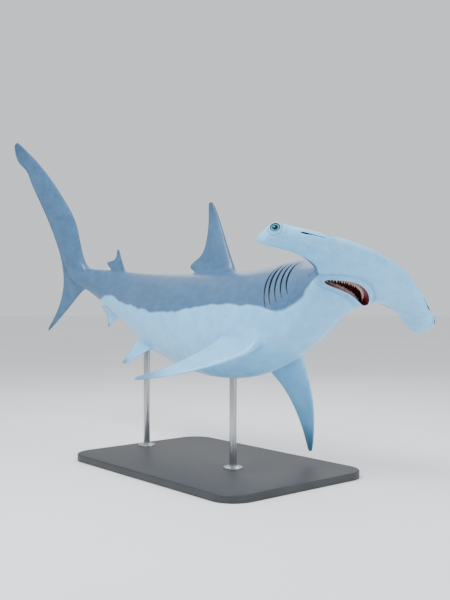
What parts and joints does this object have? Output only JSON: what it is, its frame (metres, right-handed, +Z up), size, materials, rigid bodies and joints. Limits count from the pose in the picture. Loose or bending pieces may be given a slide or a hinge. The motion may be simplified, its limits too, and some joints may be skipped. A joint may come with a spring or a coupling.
{
  "type": "hammerhead shark",
  "caption": "Life-size still model of a hammerhead shark swimming with lifted tail and rolled head, mouth a little open, held over a flat base on rods.",
  "frame": {"origin": "middle of the base's underside, on the floor", "axes": "+X the way the middle of the body points, +Y the animal's left, +Z up"},
  "size_m": [2.5384, 0.9625, 1.7512],
  "materials": {
    "slate_skin": "slate blue skin of the back, flanks and tail, painted with a satin sheen",
    "pale_skin": "pale blue skin of the hammer, the belly and the paired fins",
    "eye": "polished eye with a silvery blue iris and a dark pupil",
    "teeth": "off-white teeth set in pink gums",
    "tongue": "moist dull red",
    "stand_plate": "matt black painted plate and collars",
    "stand_rod": "brushed steel"
  },
  "bodies": {
    "root": {"head": "pale_skin", "hammer_left": "pale_skin", "hammer_right": "pale_skin", "neck": "slate_skin", "chest": "slate_skin", "trunk_front": "slate_skin", "trunk_rear": "slate_skin", "tail_stalk": "slate_skin", "caudal_upper_lobe": "slate_skin", "caudal_lower_lobe": "slate_skin", "first_dorsal_fin": "slate_skin", "second_dorsal_fin": "slate_skin", "anal_fin": "slate_skin", "pectoral_fin_left": "pale_skin", "pectoral_fin_right": "pale_skin", "pelvic_fin_left": "pale_skin", "pelvic_fin_right": "pale_skin", "eye_left": "eye", "eye_right": "eye", "upper_jaw": "teeth", "lower_jaw": "teeth", "tongue": "tongue", "stand_base": "stand_plate", "stand_rod_front": "stand_rod", "stand_rod_rear": "stand_rod", "stand_collar_front": "stand_plate", "stand_collar_rear": "stand_plate"}
  },
  "joints": []
}
